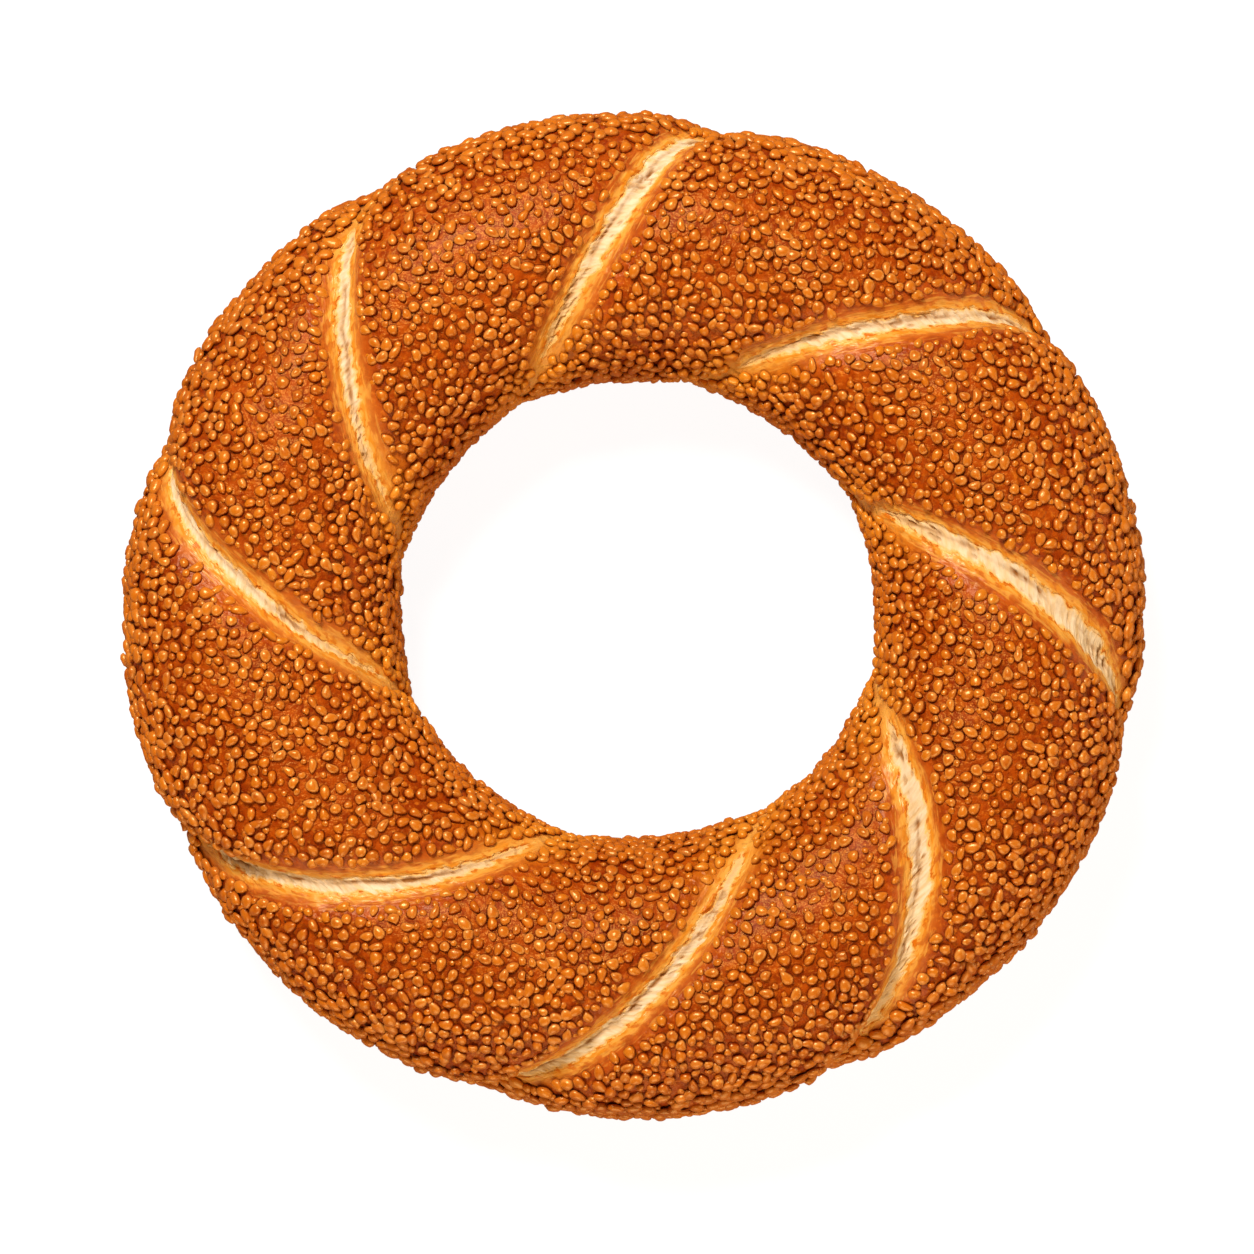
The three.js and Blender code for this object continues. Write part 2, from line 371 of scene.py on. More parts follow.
def crustColours(tree, where):
    # colour, roughness and bump height of the glazed crust, with its paler shoulders and painted shade in its
    # crevices
    look = crustLook
    patches = noiseAt(tree, where, look["patchSize"] * mm, 2)
    mottle = noiseAt(tree, where, look["mottleSize"] * mm, 4, 0.6)
    specks = noiseAt(tree, where, look["speckSize"] * mm, 3, 0.6)
    colour = mixed(tree, ranged(tree, mottle, 0.36, 0.62), look["deep"], look["brown"])
    colour = mixed(tree, ranged(tree, specks, 0.52, 0.74), colour, look["light"])
    colour = mixed(tree, ranged(tree, patches, 0.55, 0.75, 0, 0.4), colour, look["deep"])
    grainInputs = {"Vector": where, "Scale": 1 / (look["bumpSize"] * mm)}
    grains = node(tree, "ShaderNodeTexVoronoi", grainInputs, feature="SMOOTH_F1").outputs["Distance"]
    some = ranged(tree, noiseAt(tree, where, 4.0 * mm, 2), 0.42, 0.6, 0.15, 1.0)
    buried = calc(tree, "MULTIPLY", ranged(tree, grains, 0.42, 0.12), some)
    colour = mixed(tree, calc(tree, "MULTIPLY", buried, 0.65), colour, look["bumps"])
    shoulder = attributeOf(tree, "shoulder")
    share = calc(tree, "MULTIPLY", shoulder, ranged(tree, specks, 0.3, 0.6, 0.75, 1.0))
    colour = mixed(tree, share, colour, look["shoulder"])
    # painted shade from ambient occlusion, darkest between and under the seeds
    reach = {"Distance": look["creviceShadeReach"] * mm}
    openness = node(tree, "ShaderNodeAmbientOcclusion", reach, samples=4).outputs["AO"]
    colour = mixed(tree, ranged(tree, openness, 0.12, 0.85), look["creviceShade"], colour)
    # the golden and seam tones fade where that painted shade lies, so the shade shows through them
    glazed = ranged(tree, openness, 0.25, 0.85, 0.3, 1.0)
    uneven = ranged(tree, mottle, 0.34, 0.6, 0.5, 0.95)
    golden = calc(tree, "MULTIPLY", attributeOf(tree, "golden"), uneven)
    colour = mixed(tree, calc(tree, "MULTIPLY", golden, glazed), colour, look["golden"])
    seam = calc(tree, "MULTIPLY", attributeOf(tree, "seam"), ranged(tree, mottle, 0.3, 0.6, 0.5, 1.0))
    colour = mixed(tree, calc(tree, "MULTIPLY", seam, glazed), colour, look["seam"])
    rough = ranged(tree, shoulder, 0, 1, look["rough"], 0.32)
    height = calc(tree, "MULTIPLY_ADD", buried, 0.8, noiseAt(tree, where, 1.0 * mm, 2))
    height = calc(tree, "MULTIPLY", height, ranged(tree, shoulder, 0.2, 0.9, 1.0, 0.3))
    return colour, rough, height


def makeCrustMaterial():
    material, tree, shader = newMaterial("bakedCrust")
    where = node(tree, "ShaderNodeTexCoord").outputs["Object"]
    colour, rough, height = crustColours(tree, where)
    tree.links.new(colour, shader.inputs["Base Color"])
    tree.links.new(rough, shader.inputs["Roughness"])
    setGloss(shader, crustLook)
    bumped(tree, shader, height, crustLook["bump"], 0.5)
    return material


crustMesh = {
    "besideGroove": [0, 1.2, 2.4, 3.6, 4.8, 5.4, 5.9, 6.6],
    "acrossMiddle": 24,
    "rows": 200,
}
split = {
    "reach": 6.6,              # strip's half width
    "meets": 5.9,              # where strip and crust change places
    "under": 4.8,              # crust is well below the strip inside this
    "hide": 2.6,
    "rollEnd": 3.0,            # same at the strip's ends, in degrees of roll
    "seamBefore": 13,
    "seamEnd": 192,
    "seamWidth": 1.9,
    "goldenWidth": 5.5,
}


def hiddenDepth(index, roll, distance):
    n = np.asarray(index) + lapSpan
    side = 1 - smooth(split["under"], split["meets"], distance)
    start = smooth(opensFrom[n] + 0.8, opensFrom[n] + 0.8 + split["rollEnd"], roll)
    end = 1 - smooth(opensTo[n] - 0.8 - split["rollEnd"], opensTo[n] - 0.8, roll)
    return split["hide"] * side * start * end


def shoulderGlow(opening, distance):
    return np.sqrt(opening) * np.exp(-(np.maximum(distance - 1.5, 0) / 2.3) ** 2)


def seamBand(index, roll):
    # 1 where a groove shows as a bare golden seam, also beyond the ends of its split
    n = np.asarray(index) + lapSpan
    start, end = opensFrom[n] - split["seamBefore"], split["seamEnd"]
    return smooth(start - 8, start, roll) * (1 - smooth(end - 10, end, roll))


def seamGlow(index, roll, distance):
    return seamBand(index, roll) * np.exp(-(distance / split["seamWidth"]) ** 2)


def goldenGlow(index, roll, distance):
    # crust and seeds baked less round both ends of a split, most at its inner end
    n = np.asarray(index) + lapSpan
    start, end, wide = opensFrom[n], opensTo[n], split["goldenWidth"]
    inner = smooth(end - 34, end - 8, roll) * (1 - smooth(182, 202, roll))
    outer = smooth(start - 16, start - 4, roll) * (1 - smooth(start + 6, start + 22, roll))
    inner = inner * np.exp(-(distance / wide) ** 2)
    outer = 0.8 * outer * np.exp(-(distance / (0.6 * wide)) ** 2)
    return np.maximum(inner, outer)


def makeCrust(material):
    near = np.array(crustMesh["besideGroove"], float)
    middleCount, rows = crustMesh["acrossMiddle"], crustMesh["rows"]
    columns = 2 * len(near) - 1 + middleCount
    strands = np.arange(grooveCount)[:, None, None]
    roll = (underRoll - 360 + 360 * np.arange(rows) / rows)[None, :, None]
    width = strandWidth(strands, roll)
    middle = near[-1] + (width - 2 * near[-1]) * (np.arange(1, middleCount + 1) / (middleCount + 1))
    nears = np.broadcast_to(near, (grooveCount, rows, len(near)))
    fars = width - near[:0:-1]
    distance = np.concatenate([nears, middle, fars], axis=2)
    share = distance / width
    fromNext = width - distance
    lumps = crustLumps(crustPoint(strands, share, roll))
    dip = hiddenDepth(strands, roll, distance) + hiddenDepth(strands + 1, roll, fromNext)
    glow = shoulderGlow(grooveOpening(strands, roll), distance)
    glow = np.maximum(glow, shoulderGlow(grooveOpening(strands + 1, roll), fromNext))
    seam = np.maximum(seamGlow(strands, roll, distance), seamGlow(strands + 1, roll, fromNext))
    counts = (grooveCount, rows, columns)
    sheet, row, column = np.meshgrid(*(np.arange(count) for count in counts), indexing="ij")

    def vertexAt(sheet, row, column):
        sheet = (sheet + (column == columns) + sheetsPerTurn * (row == rows)) % grooveCount
        return (sheet * rows + row % rows) * columns + column % columns

    faces = np.stack([vertexAt(sheet, row, column), vertexAt(sheet, row, column + 1),
                      vertexAt(sheet, row + 1, column + 1), vertexAt(sheet, row + 1, column)], axis=-1)
    points = crustPoint(strands, share, roll, lumps - dip)
    shape = crustPoint(strands, share, roll, lumps)
    golden = np.maximum(goldenGlow(strands, roll, distance), goldenGlow(strands + 1, roll, fromNext))
    values = {"shoulder": glow, "seam": seam, "golden": golden}
    makeMesh("crust", points, faces.reshape(-1, 4), material, values, shape)


# the splits where the oven opened the twist
splitLook = {
    "crumb": shade(238, 214, 174),
    "crumbWarm": shade(228, 191, 136),
    # painted shade where the crumb is hemmed in
    "crumbShade": shade(212, 162, 100),
    "crumbEnd": shade(236, 186, 112),
    # painted shade in the crease, pits, cells and pores of the crumb
    "crease": shade(152, 96, 42),
    "shadeReach": 0.9,         # mm
    "edge": shade(236, 184, 102),
    "pale": shade(230, 160, 64),
    "gold": shade(222, 136, 34),
    "amber": shade(204, 102, 12),
    "gloss": 0.4,
    "glossTint": (1.0, 0.7, 0.42),
    "coat": 0.0,
    "coatRough": 0.3,
}


def stretched(tree, across, along, acrossShare, alongShare):
    # place on a strip, drawn out where a share is below 1
    x = calc(tree, "MULTIPLY", across, acrossShare)
    y = calc(tree, "MULTIPLY", along, alongShare)
    return node(tree, "ShaderNodeCombineXYZ", {"X": x, "Y": y}).outputs[0]


def makeSplitMaterial():
    look = splitLook
    material, tree, shader = newMaterial("tornSplit")
    where = node(tree, "ShaderNodeTexCoord").outputs["Object"]
    crust, crustRough, crustHeight = crustColours(tree, where)
    along, across = attributeOf(tree, "along"), attributeOf(tree, "across")
    streakPlace = stretched(tree, across, along, 1, 0.22)
    blotPlace = stretched(tree, across, along, 1, 0.7)
    fibrePlace = stretched(tree, across, along, 0.4, 1)
    streaks = noiseAt(tree, streakPlace, 0.7, 2, 0.5)
    blots = noiseAt(tree, blotPlace, 1.3, 3, 0.6)
    fibres = noiseAt(tree, fibrePlace, 1.2, 2, 0.5)

    ragged = calc(tree, "MULTIPLY_ADD", calc(tree, "SUBTRACT", blots, 0.5), 2.2, attributeOf(tree, "lip"))
    crumb = mixed(tree, ranged(tree, fibres, 0.35, 0.7), look["crumb"], look["crumbWarm"])
    # painted shade: the crumb darkens where little open sky reaches it
    reach = {"Distance": look["shadeReach"] * mm}
    openness = node(tree, "ShaderNodeAmbientOcclusion", reach, samples=4).outputs["AO"]
    crumb = mixed(tree, ranged(tree, openness, 0.35, 0.85, 0.85, 0), crumb, look["crumbShade"])
    crumb = mixed(tree, attributeOf(tree, "baked"), crumb, look["crumbEnd"])
    # painted shade in the crease, pits, cells and pores
    crumb = mixed(tree, attributeOf(tree, "hollowShade"), crumb, look["crease"])
    glaze = mixed(tree, ranged(tree, streaks, 0.46, 0.58), look["pale"], look["gold"])
    glaze = mixed(tree, ranged(tree, blots, 0.54, 0.61, 0, 0.85), glaze, look["amber"])
    glaze = mixed(tree, ranged(tree, ragged, 0.5, 1.7), glaze, crust)
    colour = mixed(tree, ranged(tree, ragged, -0.6, -0.1), crumb, look["edge"])
    colour = mixed(tree, ranged(tree, ragged, -0.06, 0.06), colour, glaze)
    thinPlace = stretched(tree, across, along, 1, 0.14)
    lines = noiseAt(tree, thinPlace, 0.55, 2, 0.5)
    nearGlaze = calc(tree, "MULTIPLY", ranged(tree, ragged, 0.7, 1.2), ranged(tree, ragged, 3.2, 1.6))
    lineShare = calc(tree, "MULTIPLY", nearGlaze, ranged(tree, lines, 0.53, 0.62, 0, 0.6))
    colour = mixed(tree, lineShare, colour, look["pale"])
    opened = attributeOf(tree, "opened")
    colour = mixed(tree, opened, crust, colour)
    tree.links.new(colour, shader.inputs["Base Color"])

    glazed = ranged(tree, ragged, -0.1, 0.1)
    rough = mixed(tree, ranged(tree, ragged, 0.5, 1.5), 0.3, crustRough, "FLOAT")
    rough = mixed(tree, glazed, 0.75, rough, "FLOAT")
    tree.links.new(mixed(tree, opened, crustRough, rough, "FLOAT"), shader.inputs["Roughness"])
    setGloss(shader, look)
    torn = calc(tree, "MULTIPLY", noiseAt(tree, fibrePlace, 0.8, 2, 0.5), 0.8)
    wrinkled = calc(tree, "MULTIPLY", streaks, 1.1)
    height = mixed(tree, glazed, torn, wrinkled, "FLOAT")
    height = mixed(tree, ranged(tree, ragged, 1.8, 3.6), height, crustHeight, "FLOAT")
    bumped(tree, shader, mixed(tree, opened, crustHeight, height, "FLOAT"), crustLook["bump"], 0.35)
    return material


splitForm = {
    "draw": 23,
    "rows": 280,
    "crumbColumns": 11,
    "glazeColumns": 7,
    "shoulderColumns": 4,
    "crumbEnds": (2, 4),       # degrees of roll from the split's ends to the crumb's
    "glazeBand": 1.6,          # width of the wrinkled glaze beside the crumb
    "lipDepth": 0.15,
    "overhang": 0.05,
    "crumbRise": 0.18,         # of its gape, so that the crumb lies nearly flat in the groove
    "crease": 0.45,
    "creaseWidth": 0.28,
    "pitLength": 1.05,         # mm, the broken cells along the crease
    "pitWidth": 0.65,
    "pitReach": 0.5,
    "holeSize": 0.95,          # mm, the crumb's open pores
    "hole": 0.32,
    "cellStep": 1.9,           # mm between the thin walls across the crumb
    "cell": 0.22,
    "wander": 0.4,
    "raggedSize": 2.1,
    "ragged": 0.42,
    "tearSize": 0.75,
    "tear": 0.24,
}
splitNoise = SoftNoise(splitForm["draw"])


def stripNoise(along, across, number, alongSize, acrossSize):
    place = np.broadcast_arrays(along / alongSize, across / acrossSize, number * 3.71)
    return splitNoise(np.stack(place, axis=-1))


def makeSplit(index, material):
    form, groove = splitForm, grooves[index]
    first, last = groove["opens"]
    rows = form["rows"]
    roll = np.linspace(first, last, rows)
    bottom = crustPoint(index, 0.0, roll)
    steps = np.linalg.norm(np.diff(bottom, axis=0), axis=1)
    along = np.concatenate([[0], np.cumsum(steps)])[:, None]

    gape = crumbGape(index, roll)[:, None]
    sure = smooth(0.0, 0.7, gape)       # 0 where the split is shut
    opened = smooth(0, 4, roll - first)[:, None] * smooth(0, 7, last - roll)[:, None]
    wander = form["wander"] * stripNoise(along, 0.0, 10 + index, 5.0, 1.0)
    crease = (wander + groove["crease"] * groove["gape"]) * gape / groove["gape"]

    halves = []
    for side in (-1, 1):
        number = 20 + 2 * index + (side > 0)
        ragged = form["ragged"] * stripNoise(along, 0.0, number, form["raggedSize"], 1.0)
        ragged = ragged + form["tear"] * stripNoise(along, 5.0, number, form["tearSize"], 1.0)
        lip = np.maximum(gape + sure * ragged, 0.1 * sure + 0.02)
        inner = np.linspace(0, 1, form["crumbColumns"])[None, :]
        crumbAt = side * crease + inner * (lip - side * crease)
        crumbHeight = sure * (form["crumbRise"] * gape * (1 - inner ** 2) - form["lipDepth"])
        lipAt = lip + sure * np.array([[0.08, -0.3, -1.0, -0.5]]) * form["overhang"]
        lipHeight = sure * np.array([[-0.26, -0.18, -0.02, 0.06]])
        outer = np.linspace(0, 1, form["glazeColumns"] + 1)[None, 1:]
        glazeAt = lip + outer * form["glazeBand"] * (0.3 + 0.7 * sure)
        glazeHeight = sure * (0.06 * (1 - outer) - 0.12 * outer * (1 - outer))
        wide = np.linspace(0, 1, form["shoulderColumns"] + 1)[None, 1:]
        shoulderAt = glazeAt[:, -1:] + wide * (split["meets"] - glazeAt[:, -1:])
        rimAt = np.array([[0.35, 0.7]]) + split["meets"] + 0 * lip
        distance = np.concatenate([crumbAt, lipAt, glazeAt, shoulderAt, rimAt], axis=1)
        flat = np.zeros((rows, shoulderAt.shape[1] + 2))
        height = np.concatenate([crumbHeight, lipHeight, glazeHeight, flat], axis=1)
        halves.append((side * distance, height, distance - lip, np.broadcast_to(inner, crumbAt.shape)))
    (leftAt, leftHeight, leftLip, inner), (rightAt, rightHeight, rightLip, _) = halves
    place = np.concatenate([leftAt[:, :0:-1], rightAt], axis=1)
    height = np.concatenate([leftHeight[:, :0:-1], rightHeight], axis=1)
    fromLip = np.concatenate([leftLip[:, :0:-1], rightLip], axis=1)
    columns = place.shape[1]
    crumbCount = form["crumbColumns"] - 1
    isCrumb = np.zeros(columns)
    middle = columns // 2
    isCrumb[middle - crumbCount:middle + crumbCount + 1] = 1
    edge = np.zeros((rows, columns))
    edge[:, middle - crumbCount:middle + 1] = inner[:, ::-1]
    edge[:, middle:middle + crumbCount + 1] = inner
    number = 60 + index

    # crumb: fibres from the crease to the lips, small pores, and the broken crease itself
    slanted = along + 0.35 * place
    fibres = stripNoise(slanted, place, number, 0.9, 3.0)
    fine = stripNoise(slanted, place, number + 0.3, 0.5, 0.8)
    pores = stripNoise(along, place, number + 0.6, form["holeSize"], 0.7 * form["holeSize"])
    morePores = stripNoise(along, 7.0, number + 0.8, 4.0, 1.0) + 0.6 * (1 - gape / groove["gape"])
    holes = smooth(0.22, 0.5, pores) * smooth(-0.3, 0.4, morePores)
    broken = np.clip(0.7 + 1.2 * stripNoise(along, 0.0, number + 0.9, 3.5, 1.0), 0.0, 1)
    broken = broken * smooth(0.6, 1.3, gape)
    fromCrease = np.abs(place - crease)
    pits = smooth(-0.05, 0.3, stripNoise(along, place, number + 0.2, form["pitLength"], form["pitWidth"]))
    pits = pits * broken * np.exp(-(fromCrease / form["pitReach"]) ** 2)
    creaseWidth = form["creaseWidth"] * (1 + 0.5 * stripNoise(along, 0.0, number + 0.7, 2.0, 1.0))
    creaseShare = np.maximum(0.55 * np.exp(-(fromCrease / creaseWidth) ** 2) * broken, pits)
    cellAt = slanted / form["cellStep"] + 0.7 * stripNoise(along, 0.0, number + 0.4, 2.6, 1.0)
    cells = smooth(0.0, 0.35, np.abs(np.sin(np.pi * cellAt))) * (1 - edge ** 3) * smooth(0.0, 0.35, edge)
    cells = cells * smooth(-0.5, 0.5, stripNoise(along, 3.0, number + 0.5, 6.0, 1.0))
    rough = isCrumb * sure * smooth(1.0, 0.7, edge)
    height = height - rough * form["cell"] * cells
    height = height + rough * (0.2 * fibres + 0.1 * fine - form["hole"] * holes)
    height = height - isCrumb * sure * form["crease"] * creaseShare
    # painted shade along the crease, in its pits, between the cells and in the pores
    creaseShade = 0.16 * np.exp(-(fromCrease / 0.5) ** 2)
    hollowShade = isCrumb * np.clip(0.86 * creaseShare + creaseShade + 0.12 * cells + 0.42 * holes * (edge < 0.8), 0, 1)
    # glaze: skin wrinkled along the split
    skin = (1 - isCrumb) * sure * smooth(2.6, 0.6, fromLip)
    height = height + skin * (0.12 * stripNoise(along, place, number + 1.3, 2.2, 0.55)
                              + 0.1 * stripNoise(along, place, number + 1.6, 0.9, 0.7))

    rim = smooth(split["meets"], split["reach"], np.abs(place))
    ends = (1 - smooth(0, 1.4, roll - first) + 1 - smooth(0, 1.4, last - roll))[:, None]
    dip = 0.35 * np.maximum(rim, ends)
    rollGrid = np.repeat(roll[:, None], columns, axis=1)
    strand = np.where(place < 0, index - 1, index)
    width = strandWidth(strand, rollGrid)
    share = np.where(place < 0, 1 + place / width, place / width)
    lumps = crustLumps(crustPoint(strand, share, rollGrid))
    points = crustPoint(strand, share, rollGrid, lumps + height - dip)
    shape = crustPoint(strand, share, rollGrid, lumps + height)
    row, column = np.meshgrid(np.arange(rows - 1), np.arange(columns - 1), indexing="ij")
    corner = row * columns + column
    faces = np.stack([corner, corner + 1, corner + columns + 1, corner + columns], axis=-1).reshape(-1, 4)
    full = np.ones((rows, columns))
    values = {
        "shoulder": shoulderGlow(grooveOpening(index, rollGrid), np.abs(place)),
        "seam": seamGlow(index, rollGrid, np.abs(place)),
        "golden": goldenGlow(index, rollGrid, np.abs(place)),
        "lip": np.where(sure * full > 0.02, fromLip, np.abs(place)),
        "hollowShade": hollowShade * sure,
        "baked": 0.85 * smooth(1.0, 0.35, gape / groove["gape"]) * full,
        "along": along * full,
        "across": place + 20.0 * index,
        "opened": opened * full,
    }
    makeMesh(f"split_{index + 1}", points, faces, material, values, shape)


# the sesame seeds
seedForm = {
    # reach and height from the top, for a domed seed and for a flat one
    "domed": [(0.0, 1.0), (0.52, 0.87), (0.87, 0.5), (1.02, -0.1)],
    "flat": [(0.0, 0.86), (0.62, 0.94), (0.9, 0.66), (1.03, -0.05)],
    "rim": [0.2, 0.5, 1.0],    # how far down its side each lower ring counts for its painted shading and highlight
    "bottom": -0.75,
    "topSides": 12,            # corners round a seed that shows from above
    "underSides": 8,
    "underRolls": (-24, 196),  # seeds outside these rolls have fewer corners
    "tip": 0.13,               # the pointed end, as a share of half the length
    "bend": 0.08,
    "swell": 0.16,             # mm, unevenness of each seed
    "swellSize": 0.9,
}
# sizes in mm; cut: where a broken seed ends, as a share of half its length; flat: how flat its
# top is; share: how many of the seeds are of this kind
seedKinds = {
    "seeds_plump": {
        "length": 2.15, "width": 1.85, "height": 1.85,
        "taper": 0.1, "flat": 0.25, "share": 0.27,
    },
    "seeds_egg": {
        "length": 2.3, "width": 1.72, "height": 1.75,
        "taper": 0.22, "flat": 0.2, "share": 0.25,
    },
    "seeds_long": {
        "length": 2.4, "width": 1.5, "height": 1.55,
        "taper": 0.14, "flat": 0.15, "share": 0.12,
    },
    "seeds_round": {
        "length": 1.95, "width": 1.8, "height": 1.8,
        "taper": 0.05, "flat": 0.35, "share": 0.16,
    },
    "seeds_small": {
        "length": 1.65, "width": 1.35, "height": 1.4,
        "taper": 0.16, "flat": 0.2, "share": 0.1,
    },
    "seeds_cut": {
        "length": 2.2, "width": 1.75, "height": 1.75,
        "taper": 0.1, "cut": 0.4, "flat": 0.6, "share": 0.1,
    },
}
seedBits = {
    "length": 1.6, "width": 1.2, "height": 1.3,
    "taper": 0.15, "cut": 0.4, "flat": 0.3, "sides": 9, "share": 1,
}
scatter = {
    "draw": 5,
    "candidates": 190000,
    "spacing": 2.6,            # mm, between seeds' middles on the crown
    "closer": 0.68,            # some lie nearer, as a share
    "closerShare": 0.28,
    "outerSpacing": 2.74,
    "innerSpacing": 2.1,
    "underSpacing": 2.3,
    "outerSize": 1.22,         # seeds there, as a share of those on the crown
    "innerSize": 1.02,
    "outerHeight": 0.76,
    "innerHeight": 0.85,
    "shutGap": 0.2,
    "seamGap": 1.15,
    "crumbGap": 0.7,           # bare margin beside the crumb where the split ends
    "openGap": 0.6,            # more than that beside its middle
    "openGapSpread": 0.8,
    "lift": 0.02,
    "liftSpread": 0.1,
    "sideLift": 0.3,
    "tilt": 12,                # degrees
    "sideTilt": 22,
    "size": 1.08,              # of each kind's own, with its spread and limits
    "sizeSpread": 0.1,
    "sizeLimits": (0.84, 1.32),
    "toast": 0.36,             # how brown seeds are baked, with its spread
    "toastSpread": 0.32,
    "rimHighlight": 0.5,              # most of the painted highlight round its top that a seed can show
    "sink": 0.4,               # mm, into the glaze beside a split
    "floorGap": 0.02,          # mm
    "searchBox": 2.6,          # mm, side of the boxes in which near seeds are looked for
    "bitSpacing": 1.34,
    "bitsKept": 0.32,
    "bitLift": -0.2,
}
seedLook = {
    # top lighter and sides darker: painted shading down each seed's dome
    "top": shade(208, 109, 13),
    "edge": shade(246, 172, 78),   # painted highlight round a flat seed's top
    "side": shade(176, 68, 0),
    # painted shade at each seed's foot, and where neighbours hem it in
    "footShade": shade(88, 12, 0),
    "footShadeStart": 0.45,         # how far down the sides the painted shade begins
    "creviceShadeReach": 0.8,       # mm
    "creviceShade": 0.26,
    "sideBright": 0.6,         # less of the painted shade at the sides of the tube
    "toasted": shade(168, 66, 0),
    "toastShare": 0.7,
    "golden": shade(226, 136, 26),
    "rough": 0.33,
    "gloss": 1.0,
    "glossTint": (1.0, 0.72, 0.26),
    "coat": 0.15,
    "coatRough": 0.3,
}


def makeSeedMaterial():
    look = seedLook
    material, tree, shader = newMaterial("toastedSesame")
    where = node(tree, "ShaderNodeTexCoord").outputs["Object"]
    rim = attributeOf(tree, "rim")
    reach = {"Distance": look["creviceShadeReach"] * mm}
    openness = node(tree, "ShaderNodeAmbientOcclusion", reach, samples=3).outputs["AO"]
    mottle = noiseAt(tree, where, 1.1 * mm, 3, 0.6)
    # painted shading: lighter top, darker down the sides
    colour = mixed(tree, ranged(tree, rim, 0.15, 0.75), look["top"], look["side"])
    # painted highlight round the top's rim, more on some seeds than others
    edge = calc(tree, "MULTIPLY", ranged(tree, rim, 0.12, 0.4), ranged(tree, rim, 0.75, 0.48))
    edge = calc(tree, "MULTIPLY", edge, attributeOf(tree, "rimHighlight"))
    toast = calc(tree, "MULTIPLY", attributeOf(tree, "toast"), ranged(tree, mottle, 0.4, 0.65, 0.5, 1.2))
    toast = calc(tree, "MULTIPLY", toast, look["toastShare"])
    colour = mixed(tree, toast, colour, look["toasted"])
    colour = mixed(tree, edge, colour, look["edge"])
    colour = mixed(tree, calc(tree, "MULTIPLY", attributeOf(tree, "golden"), 0.8), colour, look["golden"])
    # painted shade at the foot and in crevices
    colour = mixed(tree, ranged(tree, rim, look["footShadeStart"], 0.95, 0, 0.75), colour, look["footShade"])
    colour = mixed(tree, ranged(tree, openness, 0.3, 0.95, look["creviceShade"], 0), colour, look["footShade"])
    tree.links.new(colour, shader.inputs["Base Color"])
    shader.inputs["Roughness"].default_value = look["rough"]
    setGloss(shader, look)
    bumped(tree, shader, noiseAt(tree, where, 0.5 * mm, 2), 0.25, 0.15)
    return material


def buildSeedShape(kind, sides):
    angle = 2 * np.pi * np.arange(sides) / sides
    domed, flat = np.array(seedForm["domed"]), np.array(seedForm["flat"])
    top, *rings = domed + kind["flat"] * (flat - domed)
    points = [[0.0, 0.0, top[1]]]
    rim = [0.0]
    for (reach, height), down in zip(rings, seedForm["rim"]):
        for a in angle:
            tip = seedForm["tip"] * max(math.cos(a), 0) ** 4
            narrow = 1 - kind["taper"] * math.cos(a)
            points.append([reach * (math.cos(a) + tip), reach * math.sin(a) * narrow, height])
            rim.append(down)
    points.append([0.0, 0.0, seedForm["bottom"]])
    rim.append(1.0)
    points = np.array(points)
    points[:, 0] = np.minimum(points[:, 0], kind.get("cut", 2))
    points = points * [kind["length"] / 2, kind["width"] / 2, kind["height"] / 2]
    faces = []
    last = 1 + (len(rings) - 1) * sides
    for n in range(sides):
        m = (n + 1) % sides
        faces.append((0, 1 + n, 1 + m))
        for level in range(len(rings) - 1):
            upper, lower = 1 + level * sides, 1 + (level + 1) * sides
            faces.append((upper + n, lower + n, lower + m))
            faces.append((upper + n, lower + m, upper + m))
        faces.append((last + n, len(points) - 1, last + m))
    return points, np.array(faces), np.array(rim)


def rollForShare(share):
    pinch = ring["halfWidth"] / ring["radius"]
    roll = 360 * share
    for _ in range(10):
        roll = 360 * share - np.degrees(pinch * sine(roll))
    return np.where(roll < underRoll, roll, roll - 360)


def strandAt(turn, roll):
    # the strand that holds a turn at a roll, and the share of the way across it
    strand = np.full(turn.shape, -grooveCount)
    for index in range(-grooveCount + 1, 2 * grooveCount):
        strand = np.where(grooveTurn(index, roll) <= turn, index, strand)
    first = grooveTurn(strand, roll)
    return strand, (turn - first) / (grooveTurn(strand + 1, roll) - first)


def besideTube(roll):
    # 0 over the crown, 1 at one side of the tube and just under it: outer side, inner side
    return 1 - smooth(26, 64, np.abs(roll + 8)), 1 - smooth(24, 52, np.abs(roll - 188))


class Spacer:
    # keeps points apart from those kept before; it looks in the boxes next to a point's own, so a
    # distance longer than a box's side isn't kept everywhere
    def __init__(self, cell):
        self.cell = cell
        self.grid = {}

    def tryPoint(self, point, spacing, keep=True):
        x, y, z = point
        cell = self.cell
        i, j, k = int(x // cell), int(y // cell), int(z // cell)
        far = spacing * spacing
        for a in (i - 1, i, i + 1):
            for b in (j - 1, j, j + 1):
                for c in (k - 1, k, k + 1):
                    for ox, oy, oz in self.grid.get((a, b, c), ()):
                        if (x - ox) ** 2 + (y - oy) ** 2 + (z - oz) ** 2 < far:
                            return False
        if keep:
            self.grid.setdefault((i, j, k), []).append((x, y, z))
        return True


